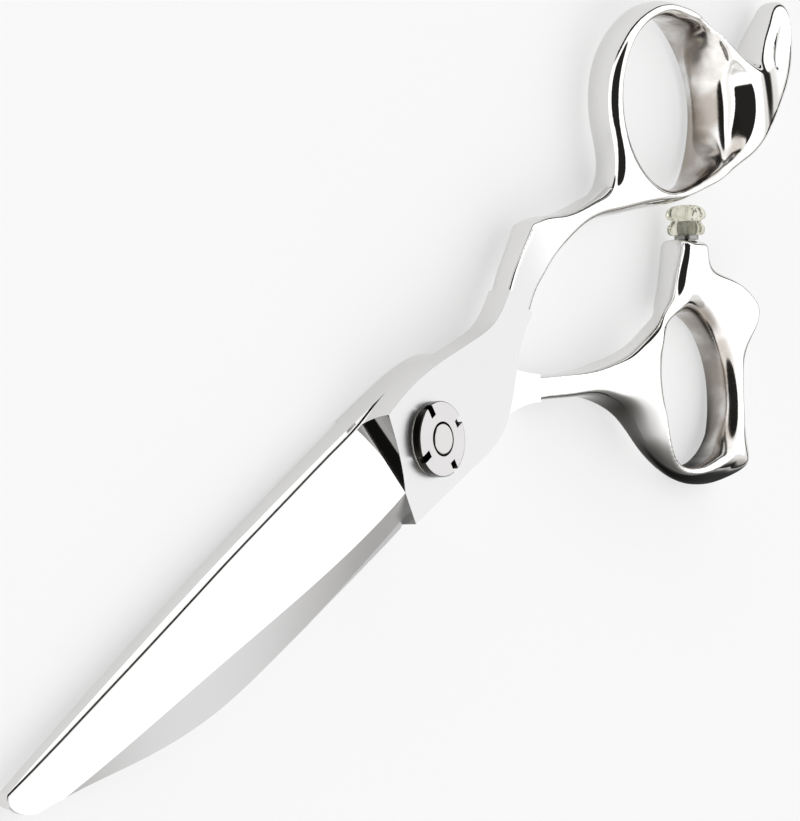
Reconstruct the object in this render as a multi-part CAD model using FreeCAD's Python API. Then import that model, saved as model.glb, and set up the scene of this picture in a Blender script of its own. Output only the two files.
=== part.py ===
import FreeCAD, Part
import math
import os

# Hair cutting shears, closed, lying flat. Millimetres, +Z up out of the dial face.
# The outlines are drawn about the pivot axis with the tips towards -X and the finger
# ring towards +Y; everything is then moved so that the origin is the bottom centre.

V = FreeCAD.Vector
os.makedirs("parts", exist_ok=True)

# ---- driving dimensions -------------------------------------------------------------
THUMB_TOP = 3.30             # inner face of the thumb blade (its back face is at z = 0)
FINGER_BOTTOM = 3.50         # inner face of the finger blade
PLATE_TOP = 6.80             # front face of the finger blade's pivot plate
EDGE_LAND = 0.28             # thickness left at a cutting edge
GRIND_X = -8.4               # where the outer bevel meets the run-out of the grind
GRIND_R = 4.0                # radius of the grinding wheel
GRIND_DIP = 0.72             # how far the wheel's own circle lies below the bevel

FINGER_RING = (69.6, 13.7)   # centre of the finger hole
FINGER_R = 11.2              # finger hole radius
FINGER_RIM = (0.85, 6.85)     # heights of the finger hole's two rims
RIM_LIP = 1.3                # rounding of the holes' rims
THUMB_RING = (56.5, -21.2)   # centre of the thumb hole
THUMB_R = 9.9                # thumb hole radius
THUMB_RING_Z = 4.0           # height of the middle of the thumb ring
THUMB_RING_T = 5.0           # thickness of the thumb ring
THUMB_TILT = 6.0             # degrees the thumb ring is turned about the Y direction

SCREW_R = 2.20               # journal that the thumb blade turns on
SCREW_HEAD_R = 4.20
SCREW_HEAD_Z = (0.12, 0.95)
SCREW_KEY_TOP = 5.20
SCREW_FLATS = 3.40           # across the two flats keyed in the finger blade
THREAD_R = 1.50              # threaded front end
RUN_CLEAR = 0.05             # radial clearance of everything that turns
BUSH_R = 2.90
BORE_FLOOR = 1.25            # floor of the thumb blade's rear counterbore
COUNTER_R = 4.35             # finger blade's front counterbore

DIAL_R = 4.60
DIAL_Z = (6.95, 8.10)
DIAL_HUB_R = 3.85
DIAL_HUB_Z = 5.74
DIAL_TURN = 6.0              # degrees the rim notches sit off the X direction
NOTCH_W = 0.95
NOTCH_IN = 3.20              # radius at which a notch starts
NOTCH_DEPTH = 0.75
CLICKS = 12
CLICK_R = 3.00               # radius of the ring of click dimples
CAP_R = 1.90
CAP_GROOVE = 0.22

POST_DIR = (0.457, 0.889)    # direction of the bumper post, towards the finger ring
POST_TOP = (66.25, -4.35)
POST_HALF = 2.80
POST_Z = 3.90
STUD_R = 1.10
BUMPER_R = 2.65
BUMPER_H = 4.60
BUMPER_FLUTES = 9

# outer bevels: x, edge y, ridge y, ridge z, spine y, spine z
FINGER_STATIONS = [
    (-8.4, 6.35, -2.9, 6.80, -7.6, 4.90),
    (-24.0, 5.15, -4.2, 6.25, -8.4, 4.70),
    (-47.0, 3.05, -4.3, 5.65, -9.4, 4.40),
    (-65.0, 1.40, -4.4, 5.10, -7.0, 4.35),
    (-90.0, -0.90, -3.7, 4.30, -4.0, 4.20),
]
THUMB_STATIONS = [
    (-8.4, -6.4, 2.4, 0.00, 7.1, 0.45),
    (-24.0, -6.9, 1.8, 0.45, 6.0, 0.75),
    (-47.0, -6.8, 1.0, 0.95, 4.1, 1.20),
    (-65.0, -5.5, 0.4, 1.40, 2.2, 1.55),
    (-90.0, -2.9, -1.4, 2.10, -0.6, 2.15),
]


# ---- helpers ------------------------------------------------------------------------
def curve(points):
    """Smooth open curve through points given as (x, y, z)."""
    spline = Part.BSplineCurve()
    spline.interpolate([V(*p) for p in points])
    return spline.toShape()


def face_of(chains, z=0.0):
    """Flat face bounded by chains; a chain of two points is a line, a longer one is a curve."""
    edges = []
    for chain in chains:
        points = [(x, y, z) for x, y in chain]
        if len(points) == 2:
            edges.append(Part.makeLine(V(*points[0]), V(*points[1])))
        else:
            edges.append(curve(points))
    return Part.Face(Part.Wire(Part.__sortEdges__(edges)))


def slab(chains, z0, z1):
    return face_of(chains, z0).extrude(V(0, 0, z1 - z0))


def disc(r, z0, z1, x=0.0, y=0.0):
    return Part.makeCylinder(r, z1 - z0, V(x, y, z0))


def ring(r_out, r_in, z0, z1):
    return disc(r_out, z0, z1).cut(disc(r_in, z0 - 1, z1 + 1))


def side_profile(top, bottom, y0=-60.0, y1=60.0):
    """Prism along Y whose front view lies between two smooth curves in X and Z."""
    upper = curve([(x, y0, z) for x, z in top])
    lower = curve([(x, y0, z) for x, z in bottom])
    left = Part.makeLine(V(bottom[0][0], y0, bottom[0][1]), V(top[0][0], y0, top[0][1]))
    right = Part.makeLine(V(bottom[-1][0], y0, bottom[-1][1]), V(top[-1][0], y0, top[-1][1]))
    wire = Part.Wire(Part.__sortEdges__([upper, right, lower, left]))
    return Part.Face(wire).extrude(V(0, y1 - y0, 0))


def soften(solid, radii, keep):
    """Fillet the edges that keep() picks with the first radius that fits."""
    edges = [e for e in solid.Edges if keep(e.BoundBox)]
    for r in radii:
        try:
            out = solid.makeFillet(r, edges)
        except Part.OCCError:
            continue
        if out.isValid():
            return out
    print("no fillet fitted")
    return solid


def soften_each(solid, radii, keep):
    """Fillet one edge after another, leaving out those that do not fit."""
    targets = [e.CenterOfMass for e in solid.Edges if keep(e.BoundBox)]
    for target in targets:
        edge = min(solid.Edges, key=lambda e: e.CenterOfMass.distanceToPoint(target))
        if edge.CenterOfMass.distanceToPoint(target) > 0.5:
            continue
        for r in radii:
            try:
                out = solid.makeFillet(r, [edge])
            except Part.OCCError:
                continue
            if out.isValid():
                solid = out
                break
    return solid


def section(x, points):
    corners = [V(x, y, z) for y, z in points]
    return Part.makePolygon(corners + corners[:1])


def bevel_tool(stations, outer, far, side):
    """Stock above (or below) one outer bevel: side 0 is the edge's bevel, side 1 the spine's."""
    wires = []
    for x, y_edge, y_ridge, z_ridge, y_spine, z_spine in stations:
        if side == 0:
            y_end, z_end = y_edge, outer
        else:
            y_end, z_end = y_spine, z_spine
        slope = (z_end - z_ridge) / (y_end - y_ridge)
        reach = math.copysign(4.0, y_end - y_ridge)
        y_in, z_in = y_ridge - reach / 2, z_ridge - slope * reach / 2
        y_out, z_out = y_end + reach, z_end + slope * reach
        wires.append(section(x, [(y_in, z_in), (y_out, z_out), (y_out, far), (y_in, far)]))
    return Part.makeLoft(wires, True, False)


def flared_hole(centre, z, r, lip, tilt=0.0):
    """Tool for a through hole with rounded rims at the heights z, turned about the Y direction."""
    a = math.radians(65)
    middle = (z[0] + z[1]) / 2
    half = (z[1] - z[0]) / 2
    wall = V(r, 0, half - lip)
    bend = V(r + lip * (1 - math.cos(a / 2)), 0, half - lip * (1 - math.sin(a / 2)))
    rim = V(r + lip * (1 - math.cos(a)), 0, half - lip * (1 - math.sin(a)))
    out = rim + V(math.sin(a), 0, math.cos(a)) * 12
    flip = lambda p: V(p.x, 0, -p.z)
    edges = [Part.makeLine(V(0, 0, out.z), out), Part.makeLine(out, rim),
             Part.Arc(rim, bend, wall).toShape(), Part.makeLine(wall, flip(wall)),
             Part.Arc(flip(wall), flip(bend), flip(rim)).toShape(), Part.makeLine(flip(rim), flip(out)),
             Part.makeLine(flip(out), V(0, 0, -out.z)), Part.makeLine(V(0, 0, -out.z), V(0, 0, out.z))]
    tool = Part.Face(Part.Wire(edges)).revolve(V(0, 0, 0), V(0, 0, 1), 360)
    tool.rotate(V(0, 0, 0), V(0, 1, 0), tilt)
    tool.translate(V(centre[0], centre[1], middle))
    return tool


def grind_runout(station, outer, up):
    """The wheel's curved end of the edge bevel, from GRIND_X on towards the pivot."""
    x, y_edge, y_ridge, z_ridge = station[:4]
    along = V(0, y_edge - y_ridge, outer - z_ridge).normalize()
    normal = V(0, -along.z, along.y)
    if normal.z * up < 0:
        normal = normal * -1
    start_x = GRIND_X - math.sqrt(GRIND_R ** 2 - (GRIND_R - GRIND_DIP) ** 2)
    start = V(start_x, y_ridge, z_ridge) + normal * (GRIND_R - GRIND_DIP) - along * 4
    wheel = Part.makeCylinder(GRIND_R, 22, start, along)
    return wheel.common(Part.makeBox(20, 60, 40, V(GRIND_X, -30, -20)))


def finger_outline():
    edge = [(-83.7, -0.1), (-74.5, 0.55), (-64, 1.5), (-52, 2.6), (-38, 4.0), (-24, 5.15),
            (-14, 5.95), (-8.6, 6.4), (-3.4, 7.3), (4.5, 7.6), (14.4, 6.7), (18.5, 6.8),
            (20.8, 7.6), (23.2, 8.9)]
    plate = [(26.0, 4.3), (24.3, 3.5), (21.2, 1.4), (19.2, -0.7), (17.0, -3.0), (14.9, -4.7),
             (11.8, -6.1), (6.7, -6.6), (-2.8, -6.9), (-8.4, -7.1)]
    spine = [(-8.4, -7.6), (-12, -7.9), (-24, -8.4), (-38, -9.1), (-48, -9.4), (-57, -8.6),
             (-65.6, -6.9), (-73, -5.1), (-81.1, -3.6)]
    tip = [(-81.1, -3.6), (-83.6, -2.2), (-84.2, -1.1), (-83.7, -0.1)]
    return [edge, [edge[-1], plate[0]], plate, [plate[-1], spine[0]], spine, tip]


def thumb_outline():
    spine = [(-83.4, 0.1), (-74, 1.2), (-64, 2.3), (-52, 3.6), (-38, 4.95), (-24, 6.0),
             (-12, 6.8), (-3, 7.3), (5.6, 7.4), (11, 6.4), (16, 3.4), (20, 0.4), (24, -2.5),
             (28.2, -5.2)]
    edge = [(26.6, -8.2), (23.1, -7.0), (18, -6.3), (12, -6.2), (6.7, -6.4), (-2.8, -6.6),
            (-8.6, -6.5), (-24, -6.9), (-48, -6.7), (-65, -5.4), (-81.0, -3.3)]
    tip = [(-81.0, -3.3), (-83.2, -2.1), (-83.9, -1.0), (-83.4, 0.1)]
    return [spine, [spine[-1], edge[0]], edge, tip]


# ---- levers -------------------------------------------------------------------------
def finger_blade():
    blade = slab(finger_outline(), FINGER_BOTTOM, PLATE_TOP)
    land = FINGER_BOTTOM + EDGE_LAND
    blade = blade.cut(bevel_tool(FINGER_STATIONS, land, 9.0, 0))
    blade = blade.cut(grind_runout(FINGER_STATIONS[0], land, 1))
    blade = blade.cut(bevel_tool(FINGER_STATIONS, land, 9.0, 1))
    near = section(-8.4, [(-5.9, 5.62), (-9.2, 3.10), (-9.2, 7.5)])
    far = section(-30.0, [(-8.6, 4.70), (-10.0, 3.60), (-10.0, 7.5)])
    blade = blade.cut(Part.makeLoft([near, far], True, True))
    key = disc(SCREW_R + 0.03, FINGER_BOTTOM - 1, SCREW_KEY_TOP)
    half = SCREW_FLATS / 2 + 0.03
    key = key.common(Part.makeBox(10, 2 * half, 10, V(-5, -half, FINGER_BOTTOM - 1)))
    blade = blade.cut(key)
    return blade.cut(disc(COUNTER_R, SCREW_KEY_TOP, PLATE_TOP + 1))


def finger_handle():
    """Crooked shank, finger ring and finger rest, cast in one."""
    crook = [(23.2, 8.9), (25.2, 10.1), (29.3, 12.0), (32.9, 13.6)]
    around = [(32.9, 13.6), (36.3, 12.9), (40, 11.6), (44, 10.7), (48, 10.2), (51.5, 10.1),
              (53.8, 11.4), (55.0, 14.0), (55.7, 17.3), (57.4, 21.0), (60.2, 24.0), (64, 26.0),
              (69.5, 27.0), (74.6, 26.3), (78.1, 24.2), (80.7, 21.5), (82.8, 18.4), (85.3, 15.0),
              (87.9, 11.8), (90.3, 10.5), (93.0, 11.0), (96.0, 12.4), (99.5, 13.8),
              (101.7, 14.5), (103.4, 14.1), (103.9, 12.6), (102.6, 8.6), (99.8, 5.5), (96, 3.5),
              (92.8, 2.5), (88.9, 1.4), (84.9, 0.7), (80, 0.4), (75.5, 0.35), (70.8, 0.5),
              (66.9, 1.1), (60, 3.3), (55.5, 4.8), (51, 6.2), (46.4, 7.7), (42.1, 8.2),
              (38.4, 8.1), (34.6, 7.7), (31.2, 6.8), (28.1, 5.7), (26.0, 4.3)]
    plan = slab([crook, around, [around[-1], crook[0]]], -2, 9)
    top = [(18, 6.8), (50, 6.4), (84, 7.6), (106, 5.6)]
    bottom = [(18, 3.5), (26, 3.3), (38, 1.8), (60, 1.3), (84, 0.4), (106, 1.6)]
    lever = plan.common(side_profile(top, bottom))
    lever = soften(lever, (1.2, 1.0, 0.8, 0.5), lambda b: b.XMax > 30)
    return lever.cut(flared_hole(FINGER_RING, FINGER_RIM, FINGER_R, RIM_LIP))


def thumb_blade():
    blade = slab(thumb_outline(), 0.0, THUMB_TOP)
    land = THUMB_TOP - EDGE_LAND
    blade = blade.cut(bevel_tool(THUMB_STATIONS, land, -4.0, 0))
    blade = blade.cut(grind_runout(THUMB_STATIONS[0], land, -1))
    blade = blade.cut(bevel_tool(THUMB_STATIONS, land, -4.0, 1))
    blade = blade.cut(disc(SCREW_HEAD_R + 0.4, -1, BORE_FLOOR))
    blade = blade.cut(disc(BUSH_R, 0, THUMB_TOP + 1))
    return blade.cut(disc(6.05, THUMB_TOP - 0.15, THUMB_TOP + 1))


def thumb_handle():
    """Shank with the bumper post, and the thumb ring turned to meet the thumb."""
    ux, uy = POST_DIR
    post_left = (POST_TOP[0] - uy * POST_HALF, POST_TOP[1] + ux * POST_HALF)
    post_right = (POST_TOP[0] + uy * POST_HALF, POST_TOP[1] - ux * POST_HALF)
    upper = [(28.2, -5.2), (32.4, -7.1), (36.3, -8.6), (40.3, -9.6), (44.6, -10.1), (48.6, -10.0),
             (54.2, -9.7), (57.9, -8.8), (60.6, -7.2), (62.4, -5.1), post_left]
    right = [post_right, (68.2, -8.0), (69.2, -9.8), (71.4, -11.9)]
    lower = [(41.0, -17.6), (39.2, -15.0), (36.8, -12.9), (33.2, -11.0), (29.4, -9.3), (26.6, -8.2)]
    shank = slab([upper, [post_left, post_right], right, [right[-1], THUMB_RING],
                  [THUMB_RING, lower[0]], lower, [lower[-1], upper[0]]], -2, 9)
    top = [(20, 3.2), (29, 3.6), (40, 5.8), (50, 6.6), (66, 6.2), (80, 6.0)]
    bottom = [(20, -0.1), (31, 0.1), (45, 1.2), (60, 1.3), (80, 1.3)]
    shank = shank.common(side_profile(top, bottom))
    shank = soften_each(shank, (1.2, 0.9, 0.6), lambda b: b.XLength > 2 and b.YMax > -12.5)
    shank = soften_each(shank, (1.0, 0.7, 0.5), lambda b: b.XMax < 41.2 and b.XLength > 6)
    loop = [(41.8, -19.5), (42.9, -22.8), (44.6, -26.0), (47.2, -29.2), (50.6, -32.2),
            (54.4, -34.5), (57.9, -36.0), (61.0, -36.7), (63.4, -36.5), (64.6, -35.0),
            (65.4, -32.8), (66.5, -30.3), (68.0, -27.8), (70.0, -25.0), (72.5, -22.7),
            (75.0, -20.6), (75.9, -18.6), (75.2, -16.4), (73.6, -14.0), (71.4, -11.9),
            (67.9, -10.2), (63.0, -9.2), (56.5, -8.9), (50.0, -10.2), (45.0, -13.0),
            (42.3, -16.3)]
    spline = Part.BSplineCurve()
    z_low = THUMB_RING_Z - THUMB_RING_T / 2
    spline.interpolate(Points=[V(x, y, z_low) for x, y in loop], PeriodicFlag=True)
    band = Part.Face(Part.Wire(spline.toShape())).extrude(V(0, 0, THUMB_RING_T))
    band = soften_each(band, (1.4, 1.1, 0.8), lambda b: b.ZLength < 0.5)
    band.rotate(V(THUMB_RING[0], THUMB_RING[1], THUMB_RING_Z), V(0, 1, 0), THUMB_TILT)
    hole = flared_hole(THUMB_RING, (z_low, z_low + THUMB_RING_T), THUMB_R, RIM_LIP, THUMB_TILT)
    lever = shank.cut(hole).fuse(band.cut(hole))
    return lever.cut(along_post(STUD_R, -3.2, 1.0))


def along_post(r, start, end):
    """Cylinder on the post's axis; distances are measured out of the post's end face."""
    ux, uy = POST_DIR
    base = V(POST_TOP[0] + ux * start, POST_TOP[1] + uy * start, POST_Z)
    return Part.makeCylinder(r, end - start, base, V(ux, uy, 0))


# ---- pivot --------------------------------------------------------------------------
def pivot_screw():
    head = disc(SCREW_HEAD_R, SCREW_HEAD_Z[0], SCREW_HEAD_Z[1])
    slot = Part.makeBox(10, 0.9, 0.45, V(-5, -0.45, SCREW_HEAD_Z[0] - 0.05))
    journal = disc(SCREW_R, SCREW_HEAD_Z[1], FINGER_BOTTOM)
    half = SCREW_FLATS / 2
    flats = Part.makeBox(10, 2 * half, 10, V(-5, -half, FINGER_BOTTOM))
    key = disc(SCREW_R, FINGER_BOTTOM, SCREW_KEY_TOP).common(flats)
    thread = disc(THREAD_R, SCREW_KEY_TOP, 7.4)
    return head.cut(slot).fuse([journal, key, thread]).removeSplitter()


def pivot_bushing():
    return ring(BUSH_R, SCREW_R + RUN_CLEAR, BORE_FLOOR, THUMB_TOP)


def centre_washer():
    return ring(6.0, BUSH_R + 0.1, THUMB_TOP - 0.15, FINGER_BOTTOM - 0.02)


def rear_washer():
    return ring(SCREW_HEAD_R - 0.1, SCREW_R + RUN_CLEAR, SCREW_HEAD_Z[1] + 0.02, BORE_FLOOR)


def click_spring():
    """Spring ring in the counterbore with two domes that drop into the dial's dimples."""
    plate = ring(COUNTER_R - 0.1, SCREW_R, SCREW_KEY_TOP, SCREW_KEY_TOP + 0.22)
    for turn in (0, 180):
        a = math.radians(DIAL_TURN + 15 + turn)
        dome = Part.makeSphere(0.7, V(CLICK_R * math.cos(a), CLICK_R * math.sin(a), 5.0))
        plate = plate.fuse(dome.common(disc(6, SCREW_KEY_TOP, 7)))
    return plate.removeSplitter()


def dial_washer():
    return ring(DIAL_R - 0.1, DIAL_HUB_R + 0.08, PLATE_TOP, DIAL_Z[0] - 0.02)


def tension_dial():
    rim = disc(DIAL_R, DIAL_Z[0], DIAL_Z[1])
    rim = rim.makeFillet(0.25, [e for e in rim.Edges if e.BoundBox.ZMin > DIAL_Z[1] - 0.01])
    dial = rim.fuse(disc(DIAL_HUB_R, DIAL_HUB_Z, DIAL_Z[0])).removeSplitter()
    dial = dial.cut(disc(THREAD_R + RUN_CLEAR, DIAL_HUB_Z - 1, DIAL_Z[1] + 1))
    dial = dial.cut(disc(CAP_R + CAP_GROOVE, 7.35, DIAL_Z[1] + 1))
    for k in range(4):
        notch = Part.makeBox(3, NOTCH_W, 2, V(NOTCH_IN, -NOTCH_W / 2, DIAL_Z[1] - NOTCH_DEPTH))
        notch.rotate(V(0, 0, 0), V(0, 0, 1), DIAL_TURN + 90 * k)
        dial = dial.cut(notch)
    for k in range(CLICKS):
        a = math.radians(DIAL_TURN + 15 + 360 * k / CLICKS)
        dimple = V(CLICK_R * math.cos(a), CLICK_R * math.sin(a), DIAL_HUB_Z - 0.18)
        dial = dial.cut(Part.makeSphere(0.45, dimple))
    return dial


def centre_cap():
    """Small domed cap screwed on the end of the pivot screw, which keeps the dial on."""
    cap = disc(CAP_R, 7.40, 8.28)
    return cap.makeFillet(0.3, [e for e in cap.Edges if e.BoundBox.ZMin > 8.2])


# ---- bumper -------------------------------------------------------------------------
def bumper_stud():
    neck = along_post(1.6, 0.02, 0.5)
    return along_post(STUD_R, -3.0, 2.4).fuse(neck).removeSplitter()


def bumper():
    """Clear stop in two fluted tiers, pushed over the stud."""
    profile = [(0, 0.5), (1.9, 0.5), (2.45, 0.9), (2.45, 1.9), (2.0, 2.3), (BUMPER_R, 2.8),
               (BUMPER_R, 3.7), (1.9, BUMPER_H), (0, BUMPER_H)]
    wire = Part.makePolygon([V(r, 0, h) for r, h in profile + profile[:1]])
    body = Part.Face(wire).revolve(V(0, 0, 0), V(0, 0, 1), 360)
    for k in range(BUMPER_FLUTES):
        a = 2 * math.pi * k / BUMPER_FLUTES
        flute = disc(0.55, 0, 6, 2.95 * math.cos(a), 2.95 * math.sin(a))
        body = body.cut(flute)
    body = body.cut(disc(STUD_R, 0, 2.45))
    body.rotate(V(0, 0, 0), V(-POST_DIR[1], POST_DIR[0], 0), 90)
    body.translate(V(POST_TOP[0], POST_TOP[1], POST_Z))
    return body


# ---- export -------------------------------------------------------------------------
NODES = [finger_blade, finger_handle, thumb_blade, thumb_handle, pivot_screw, pivot_bushing,
         centre_washer, rear_washer, click_spring, dial_washer, tension_dial, centre_cap,
         bumper_stud, bumper]
shapes = {make.__name__: make() for make in NODES}
whole = Part.makeCompound(list(shapes.values())).optimalBoundingBox(False)
shift = V(-whole.Center.x, -whole.Center.y, -whole.ZMin)
print("pivot axis at", round(shift.x, 4), round(shift.y, 4), "floor offset", round(shift.z, 4))
print("size", round(whole.XLength, 2), round(whole.YLength, 2), round(whole.ZLength, 2))
for name, shape in shapes.items():
    shape.translate(shift)
    print(name, shape.isValid(), len(shape.Solids), round(shape.Volume, 1))
    shape.exportStep("parts/" + name + ".step")
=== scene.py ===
import bmesh
import bpy
import math
import numpy as np
from mathutils import Matrix, Vector

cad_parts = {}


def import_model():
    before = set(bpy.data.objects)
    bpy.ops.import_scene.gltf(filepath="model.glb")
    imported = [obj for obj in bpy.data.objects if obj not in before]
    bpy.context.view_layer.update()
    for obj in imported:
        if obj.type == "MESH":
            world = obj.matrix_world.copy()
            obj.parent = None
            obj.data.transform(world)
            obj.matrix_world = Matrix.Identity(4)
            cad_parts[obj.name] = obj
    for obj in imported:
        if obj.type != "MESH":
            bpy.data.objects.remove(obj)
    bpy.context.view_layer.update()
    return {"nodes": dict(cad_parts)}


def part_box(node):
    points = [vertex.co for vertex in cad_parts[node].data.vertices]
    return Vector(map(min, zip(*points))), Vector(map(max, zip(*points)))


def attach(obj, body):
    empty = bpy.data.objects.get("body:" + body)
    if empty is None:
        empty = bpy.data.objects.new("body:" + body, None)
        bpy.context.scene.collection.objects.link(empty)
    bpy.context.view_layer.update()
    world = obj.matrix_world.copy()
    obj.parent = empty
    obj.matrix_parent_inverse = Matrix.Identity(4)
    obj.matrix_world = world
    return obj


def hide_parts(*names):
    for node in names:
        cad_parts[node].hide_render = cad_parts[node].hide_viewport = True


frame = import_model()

# Hair cutting shears, lying flat with the dial up. The shapes are drawn in millimetres
# about the pivot axis, tips towards -X, finger ring towards +Y, back of the thumb blade
# at z = 0. They are moved to the CAD model's frame when a mesh is made.

MM = 0.001
dial_low, dial_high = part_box("tension_dial")
blade_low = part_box("thumb_blade")[0]
PIVOT = np.array([(dial_low[0] + dial_high[0]) / 2, (dial_low[1] + dial_high[1]) / 2, blade_low[2]])

# ---- finger handle dimensions -------------------------------------------------------
FINGER_RING = (69.6, 13.7)      # middle of the finger hole
FINGER_R = 11.2                 # radius of the finger hole at its narrowest
FINGER_HANDLE = [
    [(21.4, 7.6), (23.3, 8.75), (25.2, 10.0), (29.3, 12.0), (32.9, 13.6)],
    [(32.9, 13.6), (36.3, 12.9), (40, 11.6), (44, 10.7), (48, 10.2), (51.5, 10.1),
     (53.8, 11.4), (55.0, 14.0), (55.7, 17.3), (57.4, 21.0), (60.2, 24.0), (64, 26.0),
     (69.5, 27.0), (74.6, 26.3), (78.1, 24.2), (80.7, 21.5), (82.8, 18.4), (85.3, 15.0),
     (87.9, 11.8), (90.3, 10.5), (93.0, 11.0), (96.0, 12.4), (99.5, 13.8),
     (101.7, 14.5), (103.4, 14.1), (103.9, 12.6), (102.6, 8.6), (99.8, 5.5), (96, 3.5),
     (92.8, 2.5), (88.9, 1.4), (84.9, 0.7), (80, 0.4), (75.5, 0.35), (70.8, 0.5),
     (66.9, 1.1), (60, 3.3), (55.5, 4.8), (51, 6.2), (46.4, 7.7), (42.1, 8.2),
     (38.4, 8.1), (34.6, 7.7), (31.2, 6.8), (28.1, 5.7), (26.0, 4.4), (24.4, 3.75)],
    [(24.4, 3.75), (21.4, 7.6)],
]
# heights of the upper and the lower side along the handle, as (x, z)
FINGER_TOP = [(18, 6.8), (50, 6.4), (84, 7.5), (106, 5.6)]
FINGER_LOW = [(18, 3.6), (24, 3.55), (28, 3.25), (38, 1.9), (60, 1.3), (84, 0.4), (106, 1.6)]
FINGER_BOX = ((22, -0.5, 0), (105, 28, 9.0))    # box that the handle is cut to
REST_TURN = -21                 # where the rest joins the ring, degrees from +X
FLARE_TURN = -16                # side on which the finger hole opens out
FLARE = 2.1                     # widening of the hole at the top of that side
LIP_Z = 5.5                     # height of the hole's lip in front of the rest
LIP_R = 13.1                    # radius at which the lip starts to climb to the crest
CREST_RISE = 0.7                # how far the crest behind the lip stands up
CREST_R = 18.0                  # radius of the crest
RECESS_AT = (98.3, 10.9)        # middle of the oval recess in the rest
RECESS_DIR = (0.86, 0.51)       # direction of its long axis
RECESS_HALF = (5.2, 1.9, 0.5)   # half length, half width, depth scale
RECESS_SINK = 0.1               # how far its middle lies under the surface

# ---- thumb handle dimensions --------------------------------------------------------
THUMB_RING = (56.5, -21.2)      # middle of the thumb hole
THUMB_R = 9.9                   # radius of the thumb hole
THUMB_RING_Z = 4.0              # height of the ring's middle
THUMB_RING_T = 5.0              # thickness of the ring
THUMB_TILT = math.radians(6.0)  # turn of the ring about Y
POST_DIR = (0.457, 0.889)       # direction of the bumper post
POST_TOP = (66.25, -4.35)       # middle of the post's end face
POST_HALF = 2.80                # half the post's width
POST_Z = 3.90                   # height of the post's axis
POST_LEFT = (POST_TOP[0] - POST_DIR[1] * POST_HALF, POST_TOP[1] + POST_DIR[0] * POST_HALF)
POST_RIGHT = (POST_TOP[0] + POST_DIR[1] * POST_HALF, POST_TOP[1] - POST_DIR[0] * POST_HALF)
THUMB_HANDLE = [
    [(26.4, -4.3), (28.2, -5.3), (32.4, -7.1), (36.3, -8.6), (40.3, -9.6), (44.6, -10.1),
     (48.6, -10.0), (54.2, -9.7), (57.9, -8.8), (60.6, -7.2), (62.4, -5.1), POST_LEFT],
    [POST_LEFT, POST_RIGHT],
    [POST_RIGHT, (68.2, -8.0), (69.2, -9.8), (71.4, -11.9), (73.6, -14.0), (75.2, -16.4),
     (75.9, -18.6), (75.0, -20.6), (72.5, -22.7), (70.0, -25.0), (68.0, -27.8),
     (66.5, -30.3), (65.4, -32.8), (64.6, -35.0), (63.4, -36.5), (61.0, -36.7),
     (57.9, -36.0), (54.4, -34.5), (50.6, -32.2), (47.2, -29.2), (44.6, -26.0),
     (42.9, -22.8), (41.8, -19.5), (40.6, -16.6), (38.9, -14.3), (36.6, -12.5),
     (33.2, -10.9), (29.4, -9.2), (26.6, -8.1), (25.0, -7.6)],
    [(25.0, -7.6), (26.4, -4.3)],
]
THUMB_TOP = [(20, 3.0), (27, 3.25), (31, 3.8), (40, 5.8), (50, 6.6), (66, 6.2), (80, 6.0)]
THUMB_LOW = [(20, 0.1), (31, 0.15), (45, 1.2), (60, 1.3), (80, 1.3)]
THUMB_BOX = ((25.5, -38, -1.0), (77, -2, 8.5))
OUTER_TURN = -136               # outer side of the thumb ring, degrees from +X
OUTER_WAIST = 0.9               # height above its underside at which that side is widest
LOBE_TURN = 5                   # side of the ring with the notch and the lobe

# ---- bumper dimensions --------------------------------------------------------------
# radius and distance out of the post's end face, from the foot to the top of two tiers
BUMPER_RINGS = [(0.4, 0.55), (1.5, 0.52), (2.1, 0.62), (2.4, 0.85), (2.5, 1.2), (2.5, 1.6),
                (2.36, 1.95), (2.06, 2.2), (2.0, 2.4), (2.16, 2.6), (2.52, 2.82), (2.64, 3.1),
                (2.65, 3.5), (2.52, 3.85), (2.2, 4.2), (1.7, 4.45), (1.1, 4.56), (0.4, 4.6)]
FLUTES = 9
FLUTE_DEPTH = 0.42
FLUTE_START = 1.7               # radius at which the flutes begin
FLUTE_FULL = 0.7                # distance further out at which they have their full depth

# ---- mesh quality -------------------------------------------------------------------
GRID = 0.3                      # step of the grid that a handle's surface is found on
OUTLINE_SOFT = 0.25             # rounding of the outlines' distance field
BUMPER_TURNS = 90               # points round the bumper

# ---- colours ------------------------------------------------------------------------
POLISHED = (0.78, 0.775, 0.765)
# tone of the painted shade on the inner walls of the finger and thumb holes
RING_WALL_PAINTED_SHADE = (0.40, 0.365, 0.33)
SATIN = (0.555, 0.555, 0.56)
# near black painted in for shade and dark reflections on the dial, cap, run-out and thumb ring
PAINTED_BLACK = (0.03, 0.028, 0.024)
SILICONE = ((0.96, 0.95, 0.84), (0.60, 0.59, 0.45))
NYLON = ((0.84, 0.82, 0.76), (0.72, 0.70, 0.63))

# ---- studio -------------------------------------------------------------------------
CAMERA_AZIMUTH = math.radians(-115.2290)
CAMERA_ELEVATION = math.radians(36.9410)
CAMERA_ROLL = math.radians(87.2125)
CAMERA_TARGET = (-4.6997, 6.2788, 7.0)      # millimetres from the pivot
CAMERA_DISTANCE = 0.53663
CAMERA_LENS = 197.32
SKY = 1.6
BACKDROP = (0.66, 0.66, 0.66)               # what the camera sees beyond the floor
SHADE = (0.36, 0.345, 0.325)                # tone halfway from a dark part to the light
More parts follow.
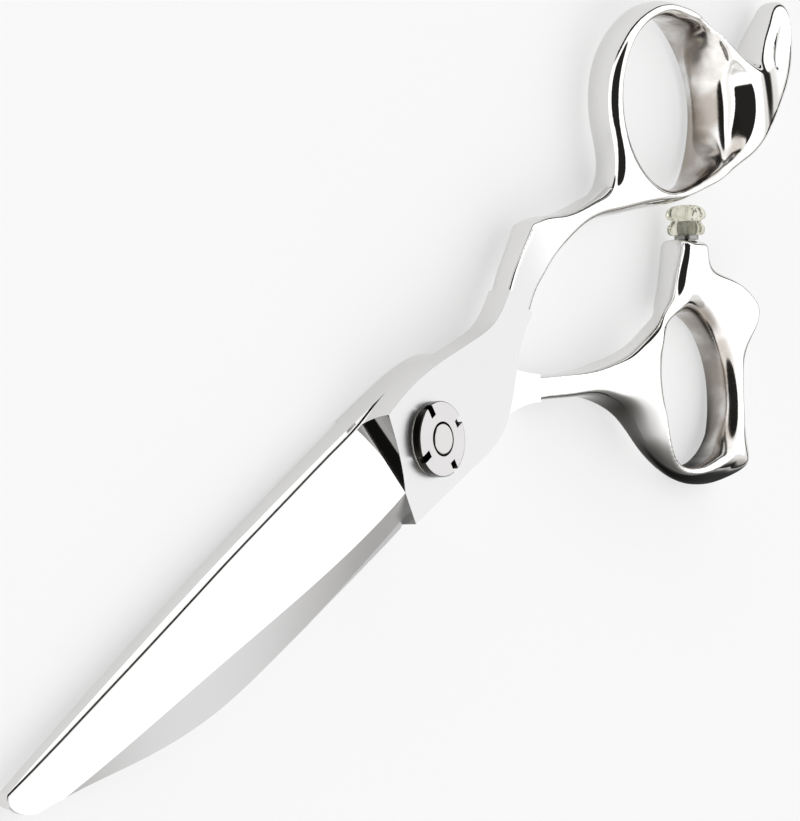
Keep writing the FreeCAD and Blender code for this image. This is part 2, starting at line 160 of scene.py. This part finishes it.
# Dark parts of the studio that the steel reflects, as ellipses in degrees: azimuth from
# +X towards +Y, elevation, half width, half height, soft edge as a share, darkness.
DARK_PARTS = [
    (20, 0, 82, 11, 0.30, 0.98),
    (130, 38, 63, 25, 0.12, 0.985),
    (-84, 0, 38, 30, 0.85, 0.35),
    (-42, 10, 26, 14, 0.35, 0.30),
]
ELLIPSE_POWER = 2.6
FLOOR_HALF = 3                              # half the floor's side, metres
FLOOR_GLOW = 0.52
FLOOR_GREY = 0.36
CARD_AT = (50, -30)                         # end of the dark card on the floor
CARD_TURN = math.radians(62)
CARD_DARKNESS = 0.9


# ---- curves -------------------------------------------------------------------------
def through(points, step=0.35):
    """Points along the natural cubic spline through the given points."""
    p = np.array(points, float)
    if len(p) == 2:
        return p
    t = np.concatenate([[0], np.cumsum(np.hypot(*np.diff(p, axis=0).T))])
    h = np.diff(t)
    n = len(p)
    system = np.eye(n)
    rhs = np.zeros((n, 2))
    slope = np.diff(p, axis=0) / h[:, None]
    for i in range(1, n - 1):
        system[i, i - 1:i + 2] = h[i - 1], 2 * (h[i - 1] + h[i]), h[i]
        rhs[i] = 6 * (slope[i] - slope[i - 1])
    m = np.linalg.solve(system, rhs)        # second derivatives at the points
    s = np.linspace(0, t[-1], max(4, int(t[-1] / step)))
    k = np.clip(np.searchsorted(t, s, side="right") - 1, 0, n - 2)
    a = (s - t[k])[:, None]
    b = (t[k + 1] - s)[:, None]
    hk = h[k][:, None]
    bent = (m[k] * b ** 3 + m[k + 1] * a ** 3) / (6 * hk)
    return bent + (p[k] / hk - m[k] * hk / 6) * b + (p[k + 1] / hk - m[k + 1] * hk / 6) * a


def joined(chains):
    """One closed outline from chains that follow on from each other."""
    return np.concatenate([through(c)[:-1] for c in chains])


def height(points):
    """Smooth height along X through a few (x, z) points."""
    line = through(points, 0.5)
    return lambda x: np.interp(x, line[:, 0], line[:, 1])


def ramp(x, start, end):
    """Smooth step from 0 at start to 1 at end."""
    t = np.clip((x - start) / (end - start), 0, 1)
    return t * t * (3 - 2 * t)


def smooth_min(a, b, k):
    """The lower of two values, rounded over where they are within k."""
    h = np.maximum(k - np.abs(a - b), 0) / k
    return np.minimum(a, b) - h * h * k / 4


def soft_plus(t, k):
    """The positive part of t, rounded over k at zero."""
    return k * np.logaddexp(0, t / k)


# ---- distance in plan ---------------------------------------------------------------
class Plan:
    """Signed distance to a closed outline, sampled on a grid and read back smoothly."""

    def __init__(self, outline, step=0.25, margin=3.0):
        self.low = outline.min(0) - margin
        self.step = step
        count = np.ceil((outline.max(0) + margin - self.low) / step).astype(int) + 3
        xs = self.low[0] + step * np.arange(count[0])
        ys = self.low[1] + step * np.arange(count[1])
        gx, gy = np.meshgrid(xs, ys, indexing="ij")
        best = np.full(gx.shape, 1e9)
        inside = np.zeros(gx.shape, bool)
        for a, b in zip(outline, np.roll(outline, -1, axis=0)):
            d = b - a
            square = max(d @ d, 1e-12)
            t = np.clip(((gx - a[0]) * d[0] + (gy - a[1]) * d[1]) / square, 0, 1)
            best = np.minimum(best, (gx - a[0] - t * d[0]) ** 2 + (gy - a[1] - t * d[1]) ** 2)
            if a[1] != b[1]:
                cross = (gy < a[1]) != (gy < b[1])
                inside ^= cross & (gx < a[0] + (gy - a[1]) * d[0] / d[1])
        self.value = blurred(np.where(inside, -1, 1) * np.sqrt(best), OUTLINE_SOFT / step)

    def __call__(self, x, y):
        """Bicubic reading of the grid."""
        u = np.clip((x - self.low[0]) / self.step, 1, self.value.shape[0] - 3)
        v = np.clip((y - self.low[1]) / self.step, 1, self.value.shape[1] - 3)
        i = u.astype(int)
        j = v.astype(int)
        wu = cubic_weights(u - i)
        wv = cubic_weights(v - j)
        out = 0
        for a in range(4):
            row = 0
            for b in range(4):
                row = row + wv[b] * self.value[i + a - 1, j + b - 1]
            out = out + wu[a] * row
        return out


def cubic_weights(t):
    """B-spline weights, which also smooth the grid's small steps."""
    return ((1 - t) ** 3 / 6, (3 * t ** 3 - 6 * t ** 2 + 4) / 6,
            (-3 * t ** 3 + 3 * t ** 2 + 3 * t + 1) / 6, t ** 3 / 6)


def blurred(grid, sigma):
    """Gaussian blur of a grid; sigma is in grid steps."""
    reach = int(3 * sigma) + 1
    kernel = np.exp(-0.5 * (np.arange(-reach, reach + 1) / sigma) ** 2)
    kernel /= kernel.sum()
    for axis in (0, 1):
        wide = np.pad(grid, [(reach, reach) if a == axis else (0, 0) for a in (0, 1)], mode="edge")
        total = 0
        for k, weight in enumerate(kernel):
            part = [slice(None), slice(None)]
            part[axis] = slice(k, k + grid.shape[axis])
            total = total + weight * wide[tuple(part)]
        grid = total
    return grid


# ---- surface of a field -------------------------------------------------------------
CORNERS = [(i, j, k) for i in (0, 1) for j in (0, 1) for k in (0, 1)]


def surface(field, low, high, step=GRID):
    """Quads on the zero surface of field(x, y, z), which is negative inside."""
    axes = [np.arange(low[i], high[i] + step, step) for i in range(3)]
    f = field(*np.meshgrid(*axes, indexing="ij"))
    neg = f < 0
    shape = [n - 1 for n in f.shape]
    count = sum(neg[i:i + shape[0], j:j + shape[1], k:k + shape[2]].astype(int) for i, j, k in CORNERS)
    cells = np.argwhere((count > 0) & (count < 8))
    index = np.full(shape, -1)
    index[tuple(cells.T)] = np.arange(len(cells))
    points = np.array(low) + step * (cells + crossing(f, cells))
    faces = np.concatenate([quads_across(neg, index, axis) for axis in range(3)])
    for _ in range(2):
        points = relaxed(settle(field, points, step), faces)
    for _ in range(2):
        points = settle(field, points, step)
    return points, faces


def crossing(f, cells):
    """Middle of the places where a cell's edges cross the zero surface, in cell units."""
    total = np.zeros((len(cells), 3))
    hits = np.zeros(len(cells))
    for corner in CORNERS:
        for axis in range(3):
            if corner[axis]:
                continue
            start = np.array(corner)
            end = start.copy()
            end[axis] = 1
            fa = f[tuple((cells + start).T)]
            fb = f[tuple((cells + end).T)]
            cut = (fa < 0) != (fb < 0)
            t = fa / np.where(cut, fa - fb, 1)
            total += np.where(cut, 1, 0)[:, None] * (start + t[:, None] * (end - start))
            hits += cut
    return total / hits[:, None]


def quads_across(neg, index, axis):
    """One quad for each grid edge along an axis that crosses the surface, facing outward."""
    u, v = [a for a in range(3) if a != axis]
    here = [slice(1, -1)] * 3
    there = [slice(1, -1)] * 3
    here[axis] = slice(0, -1)
    there[axis] = slice(1, None)
    change = neg[tuple(here)] != neg[tuple(there)]
    spots = np.argwhere(change) + [0 if i == axis else 1 for i in range(3)]
    up = neg[tuple(spots.T)]
    quad = []
    for du, dv in ((-1, -1), (0, -1), (0, 0), (-1, 0)):
        cell = spots.copy()
        cell[:, u] += du
        cell[:, v] += dv
        quad.append(index[tuple(cell.T)])
    quad = np.stack(quad, 1)
    turned = ~up if axis != 1 else up
    quad[turned] = quad[turned][:, ::-1]
    return quad


def gradient(field, points, eps=0.02):
    """Central differences of the field at the points."""
    out = []
    for axis in range(3):
        d = np.zeros(3)
        d[axis] = eps
        out.append((field(*(points + d).T) - field(*(points - d).T)) / (2 * eps))
    return np.stack(out, 1)


def settle(field, points, limit):
    """Two Newton steps onto the zero surface, none longer than limit."""
    for _ in range(2):
        g = gradient(field, points)
        move = -field(*points.T)[:, None] * g / np.maximum((g * g).sum(1), 1e-6)[:, None]
        size = np.linalg.norm(move, axis=1)[:, None]
        points = points + move * np.minimum(1, limit / np.maximum(size, 1e-9))
    return points


def relaxed(points, faces):
    """Each point goes halfway to the middle of its neighbours."""
    total = np.zeros_like(points)
    count = np.zeros(len(points))
    for a in range(4):
        b = (a + 1) % 4
        for s, e in ((a, b), (b, a)):
            np.add.at(total, faces[:, s], points[faces[:, e]])
            np.add.at(count, faces[:, s], 1)
    return points * 0.5 + 0.5 * total / np.maximum(count, 1)[:, None]


def mesh_piece(name, points, faces):
    """Smooth-shaded object from points in the drawing's millimetres."""
    mesh = bpy.data.meshes.new(name)
    place = np.asarray(points) * MM + PIVOT
    mesh.from_pydata([tuple(p) for p in place], [], [tuple(int(i) for i in f) for f in faces])
    mesh.update()
    mesh.polygons.foreach_set("use_smooth", [True] * len(mesh.polygons))
    obj = bpy.data.objects.new(name, mesh)
    bpy.context.collection.objects.link(obj)
    return obj


# ---- handles ------------------------------------------------------------------------
# A section of a handle is a rounded shape: how far a point is towards the outline, towards
# the hole and towards the top or the underside, each 1 at the skin, add up to 1 on it.
def lens(edge, width, power):
    """1 at an outline and 0 at width inside it, from the signed distance to it."""
    return np.clip(1 + edge / width, 0, None) ** power


def upright(z, low, top, waist, low_power, top_power):
    """0 where a section is widest, 1 at its underside and its top."""
    under = np.clip((waist - z) / (waist - low), 0, None) ** low_power
    over = np.clip((z - waist) / (top - waist), 0, None) ** top_power
    return under + over


def toward(x, y, centre, degrees, start, end):
    """1 on the side of a ring that looks towards an azimuth, 0 on the other side."""
    dx = x - centre[0]
    dy = y - centre[1]
    a = math.radians(degrees)
    cosine = (dx * math.cos(a) + dy * math.sin(a)) / np.maximum(np.hypot(dx, dy), 1e-6)
    return ramp(cosine, start, end)


def finger_crest(x, y, edge, radius, top):
    """Height of the finger handle's upper side: level, but sunk to a lip before the rest."""
    turn = np.degrees(np.arctan2(y - FINGER_RING[1], x - FINGER_RING[0])) - REST_TURN
    behind = toward(x, y, FINGER_RING, REST_TURN, 0.75, 0.9)
    fade = np.exp(-(turn / np.where(turn > 0, 18, 38)) ** 4)
    plateau = top(x) + CREST_RISE * behind * np.exp(-((radius - CREST_R) / 4) ** 2)
    lip = plateau - (plateau - LIP_Z) * fade * (1 - ramp(edge, -2.4, -0.8))
    climb = lip + 1.5 * soft_plus(radius - LIP_R - 2.2 * np.exp(-(turn / 24) ** 2), 0.12)
    return smooth_min(plateau, climb, 0.3)


def rest_recess(x, y, depth):
    """Negative in the oval recess of the finger rest; depth is measured from the top."""
    dx = x - RECESS_AT[0]
    dy = y - RECESS_AT[1]
    along = dx * RECESS_DIR[0] + dy * RECESS_DIR[1]
    across = dy * RECESS_DIR[0] - dx * RECESS_DIR[1]
    long, wide, deep = RECESS_HALF
    return ((along / long) ** 2 + (across / wide) ** 2 + ((depth + RECESS_SINK) / deep) ** 2) ** 0.5 - 1


def finger_field():
    """Crooked shank, finger ring and finger rest in one."""
    plan = Plan(joined(FINGER_HANDLE))
    top = height(FINGER_TOP)
    low = height(FINGER_LOW)

    def field(x, y, z):
        edge = plan(x, y)
        radius = np.hypot(x - FINGER_RING[0], y - FINGER_RING[1])
        # where along the handle a point is: 0 or 1, with smooth steps between
        flared = toward(x, y, FINGER_RING, FLARE_TURN, 0.3, 0.95)
        behind_plate = ramp(x, 26.0, 54.0)
        rest = ramp(x, 88.0, 104.0)
        band = 1 - ramp(radius, 13.5, 16.0)
        # upper and lower side, squarer next to the plate and on the ring's flared band
        top_z = finger_crest(x, y, edge, radius, top)
        low_z = low(x)
        power = 5.0 - 3.0 * ramp(x, 26.0, 56.0)
        top_power = power + (2 + 5 * band) * flared * (1 - rest)
        rise = upright(z, low_z, top_z, (top_z + low_z) / 2, power + 5 * flared, top_power)
        # rounding of the outer edge, wider away from the plate and on the rest
        side = lens(edge, 0.4 + 1.15 * behind_plate + 2.2 * rest, 2.0)
        hole = FINGER_R + FLARE * flared * np.clip((z - 0.8) / 5.4, 0, 1.1) - radius
        body = (side + lens(hole, 2.0 - 1.4 * flared, 2.0) + rise) ** 0.5 - 1
        return np.maximum(body * 1.2, -rest_recess(x, y, z - top_z))

    return field


def thumb_field():
    """Thumb shank, bumper post and tilted thumb ring in one."""
    plan = Plan(joined(THUMB_HANDLE))
    top = height(THUMB_TOP)
    low = height(THUMB_LOW)
    c = math.cos(THUMB_TILT)
    s = math.sin(THUMB_TILT)

    def field(x, y, z):
        dx = x - THUMB_RING[0]
        dy = y - THUMB_RING[1]
        radius = np.hypot(dx, dy)
        # where along the handle a point is: 0 or 1, with smooth steps between
        outer = toward(x, y, THUMB_RING, OUTER_TURN, -0.1, 0.75)
        lobe = toward(x, y, THUMB_RING, LOBE_TURN, 0.0, 0.8)
        on_ring = 1 - ramp(radius, 12.0, 20.0)
        by_blade = 1 - ramp(x, 29.0, 50.0)
        # upper and lower side pass from the shank's to the tilted ring's
        level = THUMB_RING_Z - math.tan(THUMB_TILT) * dx
        top_z = top(x) * (1 - on_ring) + (level + THUMB_RING_T / 2) * on_ring
        low_z = low(x) * (1 - on_ring) + (level - THUMB_RING_T / 2 - 0.5 * lobe) * on_ring
        waist = (top_z + low_z) / 2 * (1 - outer) + (low_z + OUTER_WAIST) * outer
        low_power = 2.0 + 5 * np.maximum(outer, lobe) + 2 * by_blade
        rise = upright(z, low_z, top_z, waist, low_power, 2.0 - 0.6 * outer + 2 * by_blade)
        # rounding of the outer edge, widest on the outer side of the ring
        narrow = 0.5 + 0.7 * ramp(x, 29.0, 42.0)
        width = narrow + (2.2 - narrow + 1.5 * outer) * (1 - ramp(radius, 13.0, 18.5))
        side = lens(plan(x, y), width, 2.0 - 0.6 * outer)
        hole = THUMB_R - np.hypot(c * dx - s * (z - THUMB_RING_Z), dy)
        return ((side + lens(hole, 2.2 - 0.5 * outer, 2.0) + rise) ** 0.5 - 1) * 1.3

    return field


# ---- bumper -------------------------------------------------------------------------
def bumper_point(radius, out, turn):
    """Place on the bumper; the flutes fade out towards its ends."""
    side = np.array([-POST_DIR[1], POST_DIR[0], 0])
    depth = FLUTE_DEPTH * max(0.0, min(1.0, (radius - FLUTE_START) / FLUTE_FULL))
    radius = radius - depth * max(0.0, math.cos(FLUTES * turn)) ** 2
    centre = np.array([*POST_TOP, POST_Z]) + np.array([*POST_DIR, 0]) * out
    return centre + (side * math.cos(turn) + np.array([0, 0, 1.0]) * math.sin(turn)) * radius


def make_bumper():
    """Clear stop in two fluted tiers on the end of the post."""
    n = BUMPER_TURNS
    rings = len(BUMPER_RINGS)
    points = [bumper_point(r, out, 2 * math.pi * k / n) for r, out in BUMPER_RINGS for k in range(n)]
    faces = []
    for i in range(rings - 1):
        for k in range(n):
            m = (k + 1) % n
            faces.append((i * n + k, i * n + m, (i + 1) * n + m, (i + 1) * n + k))
    faces.append(tuple(reversed(range(n))))
    faces.append(tuple((rings - 1) * n + k for k in range(n)))
    obj = mesh_piece("bumper_clear", points, faces)
    bm = bmesh.new()
    bm.from_mesh(obj.data)
    bmesh.ops.recalc_face_normals(bm, faces=bm.faces)
    bm.to_mesh(obj.data)
    bm.free()
    return obj


# ---- node trees ---------------------------------------------------------------------
def on_plan(x, y):
    """Place of the drawing in the CAD model's frame, on the floor."""
    return [PIVOT[0] + x * MM, PIVOT[1] + y * MM, 0]


class Nodes:
    """Short way to write a node tree."""

    def __init__(self, tree):
        self.tree = tree

    def link(self, source, target):
        self.tree.links.new(source, target)

    def add(self, kind, inputs=(), **settings):
        node = self.tree.nodes.new(kind)
        for key, value in settings.items():
            setattr(node, key, value)
        pairs = inputs.items() if isinstance(inputs, dict) else enumerate(inputs)
        for key, value in pairs:
            if isinstance(value, bpy.types.NodeSocket):
                self.link(value, node.inputs[key])
            else:
                node.inputs[key].default_value = value
        return node

    def math(self, operation, *values):
        return self.add("ShaderNodeMath", values, operation=operation).outputs[0]

    def times(self, a, b):
        return self.math("MULTIPLY", a, b)

    def plus(self, a, b):
        return self.math("ADD", a, b)

    def one_minus(self, value):
        return self.math("SUBTRACT", 1.0, value)

    def vector(self, operation, *values):
        return self.add("ShaderNodeVectorMath", values, operation=operation).outputs

    def dot(self, a, b):
        return self.vector("DOT_PRODUCT", a, b)["Value"]

    def split(self, vector):
        """The three parts of a vector."""
        return self.add("ShaderNodeSeparateXYZ", [vector]).outputs

    def turned(self, vector, angle, centre=(0, 0, 0)):
        """The vector turned about a line along Z."""
        inputs = {"Vector": vector, "Center": centre, "Angle": angle}
        return self.add("ShaderNodeVectorRotate", inputs, rotation_type="Z_AXIS").outputs[0]

    def place(self):
        return self.add("ShaderNodeTexCoord").outputs["Object"]

    def normal(self):
        return self.add("ShaderNodeTexCoord").outputs["Normal"]

    def noise(self, where, scale, detail):
        return self.add("ShaderNodeTexNoise", {"Vector": where, "Scale": scale, "Detail": detail}).outputs[0]

    def smooth(self, value, zero, one):
        """Smooth step of value: 0 at zero and 1 at one."""
        inputs = {"Value": value, "From Min": zero, "From Max": one}
        return self.add("ShaderNodeMapRange", inputs, interpolation_type="SMOOTHSTEP").outputs["Result"]

    def along(self, axis, zero, one):
        """Smooth step along an axis between two places in the drawing's millimetres."""
        return self.smooth(self.split(self.place())[axis], PIVOT[axis] + zero * MM, PIVOT[axis] + one * MM)

    def facing(self, direction, zero, one):
        """Smooth step over how far the surface turns towards a direction."""
        return self.smooth(self.dot(self.normal(), direction), zero, one)

    def mixed(self, share, first, second):
        """Colour between two colours, each a colour or a socket."""
        ends = [c if isinstance(c, bpy.types.NodeSocket) else (*c, 1) for c in (first, second)]
        return self.add("ShaderNodeMix", {0: share, 6: ends[0], 7: ends[1]}, data_type="RGBA").outputs[2]

    def bump(self, relief, distance, strength):
        inputs = {"Height": relief, "Distance": distance, "Strength": strength}
        return self.add("ShaderNodeBump", inputs).outputs[0]


# ---- masks of the steel: satin finish, painted shade and painted dark reflections ---
def ring_inside(n, centre, reach):
    """1 where the surface looks at the middle of a ring, 0 elsewhere."""
    offset = n.split(n.vector("SUBTRACT", n.place(), on_plan(*centre))[0])
    flat = n.add("ShaderNodeCombineXYZ", [offset[0], offset[1]]).outputs[0]
    far = n.vector("LENGTH", flat)["Value"]
    out = n.vector("NORMALIZE", flat)[0]
    near = n.smooth(far, (reach + 1) * MM, reach * MM)
    return n.times(n.smooth(n.dot(out, n.normal()), -0.45, -0.85), near)


def painted_wall_shade(n):
    """1 on upright walls and in the recesses of the dial, which get painted shade."""
    wall = n.smooth(n.split(n.normal())[2], 0.75, 0.4)
    return n.math("MAXIMUM", wall, n.along(2, 7.8, 7.6))


def thumb_flank_painted_reflection(n):
    """1 on the outer side of the thumb ring next to the shank, which gets a painted dark reflection."""
    side = (-0.62, -0.78, 0)
    offset = n.vector("SUBTRACT", n.place(), on_plan(*THUMB_RING))[0]
    return n.times(n.facing(side, 0.25, 0.95), n.smooth(n.dot(offset, side), 1 * MM, 6 * MM))


def runout_painted_reflection(n):
    """Share of painted black, a painted dark reflection, in the curved end of the finger blade's grind,
    which faces the tip.
    """
    reach = n.times(n.along(0, -14, -12), n.along(0, -2, -3))
    return n.times(n.times(reach, n.facing((-1, 0, 0), 0.25, 0.5)), 0.75)


def plate_satin(n):
    """1 on the flat front of the pivot plate and on the spine bevel."""
    return n.math("MAXIMUM", n.along(2, 6.70, 6.79), n.facing((0, -1, 0), 0.08, 0.14))


def shank_satin(n):
    """1 on the flat top of the shank beside the plate, fading into the polish."""
    return n.times(n.along(0, 44, 26), n.smooth(n.split(n.normal())[2], 0.95, 0.99))


# ---- materials ----------------------------------------------------------------------
def new_material(name):
    """An empty material, its node writer and its shader."""
    mat = bpy.data.materials.new(name)
    mat.use_nodes = True
    return mat, Nodes(mat.node_tree), mat.node_tree.nodes["Principled BSDF"]


def steel(name, color, rough, grain, stretch=(40, 900, 900), waves=0.0, inside=None, satin=None,
          black=None):
    """Steel with polishing lines, hazy patches and slight waves.

    inside is the middle and reach of a hole whose inner wall gets painted shade in patches;
    satin and black are masks, black one of painted shade and painted dark reflections.
    """
    mat, n, shader = new_material(name)
    where = n.place()
    haze = n.noise(where, 160.0, 4.0)
    lines_at = n.add("ShaderNodeMapping", {"Vector": where, "Scale": stretch}).outputs[0]
    lines = n.noise(lines_at, 12.0, 6.0)
    swell = n.noise(where, 190.0, 0.0)
    base = n.mixed(haze, color, [c * 0.93 for c in color])
    roughness = n.plus(rough, n.times(n.math("SUBTRACT", haze, 0.5), rough * 0.8))
    if inside:
        mask = ring_inside(n, *inside)
        # painted shade in patches on the hole's inner wall
        base = n.mixed(n.times(mask, n.smooth(haze, 0.25, 0.62)), base, RING_WALL_PAINTED_SHADE)
        roughness = n.plus(roughness, n.times(mask, 0.1))
    if satin:
        mask = satin(n)
        base = n.mixed(mask, base, SATIN)
        roughness = n.plus(roughness, n.times(mask, 0.26))
    if black:
        # painted shade and painted dark reflections, near black where the mask is 1
        base = n.mixed(black(n), base, PAINTED_BLACK)
    n.link(base, shader.inputs["Base Color"])
    n.link(roughness, shader.inputs["Roughness"])
    shader.inputs["Metallic"].default_value = 1
    relief = n.plus(n.times(swell, waves), n.times(lines, grain))
    n.link(n.bump(relief, 0.0001, 1.0), shader.inputs["Normal"])
    return mat


def clear_silicone():
    """Clear, slightly cloudy silicone of the bumper."""
    mat, n, shader = new_material("clear_silicone")
    cloud = n.smooth(n.noise(n.place(), 420.0, 2.0), 0.35, 0.65)
    n.link(n.mixed(cloud, *SILICONE), shader.inputs["Base Color"])
    n.link(n.plus(0.02, n.times(cloud, 0.12)), shader.inputs["Roughness"])
    shader.inputs["Transmission Weight"].default_value = 0.9
    shader.inputs["IOR"].default_value = 1.42
    n.link(n.bump(cloud, 0.0002, 0.5), shader.inputs["Normal"])
    return mat


def nylon():
    """Off-white nylon of the bushing and the washers, slightly mottled."""
    mat, n, shader = new_material("nylon")
    mottle = n.noise(n.place(), 900.0, 3.0)
    n.link(n.mixed(mottle, *NYLON), shader.inputs["Base Color"])
    n.link(n.plus(0.4, n.times(mottle, 0.2)), shader.inputs["Roughness"])
    n.link(n.bump(mottle, 0.00005, 0.5), shader.inputs["Normal"])
    return mat


def steels():
    """One steel for each visible node, by the node's name."""
    cast = {"stretch": (300, 300, 300), "waves": 0.35}
    return {
        "finger_blade": steel("blade_front", POLISHED, 0.05, 0.02, satin=plate_satin, black=runout_painted_reflection),
        "thumb_blade": steel("blade_rear", POLISHED, 0.06, 0.03),
        "finger_handle": steel("finger_handle", POLISHED, 0.035, 0.01, **cast,
                               inside=(FINGER_RING, FINGER_R + 3.5), satin=shank_satin),
        "thumb_handle": steel("thumb_handle", POLISHED, 0.035, 0.01, **cast,
                              inside=(THUMB_RING, THUMB_R + 2), black=thumb_flank_painted_reflection),
        "pivot_screw": steel("screw_steel", (0.6, 0.6, 0.61), 0.2, 0.1),
        "tension_dial": steel("dial_steel", (0.51, 0.50, 0.50), 0.22, 0.05, black=painted_wall_shade),
        "centre_cap": steel("cap_steel", (0.50, 0.495, 0.49), 0.16, 0.03, black=painted_wall_shade),
        "bumper_stud": steel("stud_steel", (0.28, 0.28, 0.27), 0.25, 0.05),
        "click_spring": steel("spring_steel", (0.4, 0.39, 0.38), 0.3, 0.1),
    }


def dress_cad_nodes(by_node):
    """Nylon for the bushing and two washers, steel for every other CAD node."""
    plastic = nylon()
    for name, obj in frame["nodes"].items():
        material = by_node.get(name, by_node["pivot_screw"])
        if name in ("pivot_bushing", "centre_washer", "dial_washer"):
            material = plastic
        for slot in obj.material_slots:
            slot.link = "OBJECT"
            slot.material = material


# ---- studio -------------------------------------------------------------------------
def add_camera():
    """Long lens over the tips, turned so that the shears stand on end in the picture."""
    flat = math.cos(CAMERA_ELEVATION)
    back = Vector((math.sin(CAMERA_AZIMUTH) * flat, -math.cos(CAMERA_AZIMUTH) * flat,
                   math.sin(CAMERA_ELEVATION)))
    side = Vector((0, 0, 1)).cross(back).normalized()
    up = back.cross(side)
    right = side * math.cos(CAMERA_ROLL) + up * math.sin(CAMERA_ROLL)
    turn = Matrix((right, back.cross(right), back)).transposed()
    target = Vector(PIVOT) + Vector(CAMERA_TARGET) * MM
    cam = bpy.data.objects.new("camera", bpy.data.cameras.new("camera"))
    bpy.context.collection.objects.link(cam)
    cam.matrix_world = Matrix.Translation(target + back * CAMERA_DISTANCE) @ turn.to_4x4()
    cam.data.lens = CAMERA_LENS
    cam.data.sensor_width = 36
    cam.data.clip_start = 0.01
    cam.data.clip_end = 20
    bpy.context.scene.camera = cam


def floor():
    """Pale floor, with a dark card on it that shows only in reflections."""
    mesh = bpy.data.meshes.new("floor")
    s = FLOOR_HALF
    mesh.from_pydata([(-s, -s, 0), (s, -s, 0), (s, s, 0), (-s, s, 0)], [], [(0, 1, 2, 3)])
    obj = bpy.data.objects.new("floor", mesh)
    bpy.context.collection.objects.link(obj)
    mat, n, shader = new_material("floor")
    shader.inputs["Roughness"].default_value = 0.8
    shader.inputs["Specular IOR Level"].default_value = 0.0
    shader.inputs["Emission Color"].default_value = (1, 1, 1, 1)
    end = on_plan(*CARD_AT)
    along, across, _ = n.split(n.vector("SUBTRACT", n.turned(n.place(), CARD_TURN, end), end)[0])
    width = n.smooth(n.math("ABSOLUTE", across), 26 * MM, 8 * MM)
    card = n.times(width, n.smooth(along, -6 * MM, 6 * MM))
    hidden = n.one_minus(n.add("ShaderNodeLightPath").outputs["Is Camera Ray"])
    light = n.one_minus(n.times(n.times(card, hidden), CARD_DARKNESS))
    n.link(n.times(light, FLOOR_GLOW), shader.inputs["Emission Strength"])
    grey = n.add("ShaderNodeCombineXYZ", [n.times(light, FLOOR_GREY)] * 3).outputs[0]
    n.link(grey, shader.inputs["Base Color"])
    mesh.materials.append(mat)


def light_past(n, direction, elevation, part):
    """Share of the light that gets past a dark part of the studio."""
    azimuth, high, wide, tall, soft, dark = part
    x, y, _ = n.split(n.turned(direction, -math.radians(azimuth)))
    across = n.math("DIVIDE", n.math("ARCTAN2", y, x), math.radians(wide))
    above = n.math("DIVIDE", n.math("SUBTRACT", elevation, math.radians(high)), math.radians(tall))
    powers = [n.math("POWER", n.math("ABSOLUTE", v), ELLIPSE_POWER) for v in (across, above)]
    return n.one_minus(n.times(n.smooth(n.plus(*powers), 1 + soft, 1 - soft), dark))


def world():
    """Soft light from all round, with the dark parts of the studio."""
    studio = bpy.data.worlds.new("studio")
    studio.use_nodes = True
    n = Nodes(studio.node_tree)
    direction = n.add("ShaderNodeTexCoord").outputs["Generated"]
    elevation = n.math("ARCSINE", n.split(direction)[2])
    light = light_past(n, direction, elevation, DARK_PARTS[0])
    for part in DARK_PARTS[1:]:
        light = n.times(light, light_past(n, direction, elevation, part))
    tone = n.add("ShaderNodeValToRGB", [light])
    stops = tone.color_ramp.elements
    stops[0].color = (0.004, 0.004, 0.004, 1)
    stops[1].color = (1, 1, 1, 1)
    stops.new(0.5).color = (*SHADE, 1)
    seen = n.add("ShaderNodeLightPath").outputs["Is Camera Ray"]
    background = studio.node_tree.nodes["Background"]
    n.link(n.mixed(seen, tone.outputs[0], BACKDROP), background.inputs["Color"])
    background.inputs["Strength"].default_value = SKY
    bpy.context.scene.world = studio
    bpy.context.scene.view_settings.view_transform = "Standard"


# ---- the scene ----------------------------------------------------------------------
add_camera()
floor()
world()
STEELS = steels()
dress_cad_nodes(STEELS)

finger_handle = mesh_piece("finger_handle_polished", *surface(finger_field(), *FINGER_BOX))
finger_handle.data.materials.append(STEELS["finger_handle"])
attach(finger_handle, "finger_lever")
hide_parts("finger_handle")

thumb_handle = mesh_piece("thumb_handle_polished", *surface(thumb_field(), *THUMB_BOX))
thumb_handle.data.materials.append(STEELS["thumb_handle"])
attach(thumb_handle, "thumb_lever")
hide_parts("thumb_handle")

stop = make_bumper()
stop.data.materials.append(clear_silicone())
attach(stop, "thumb_lever")
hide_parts("bumper")
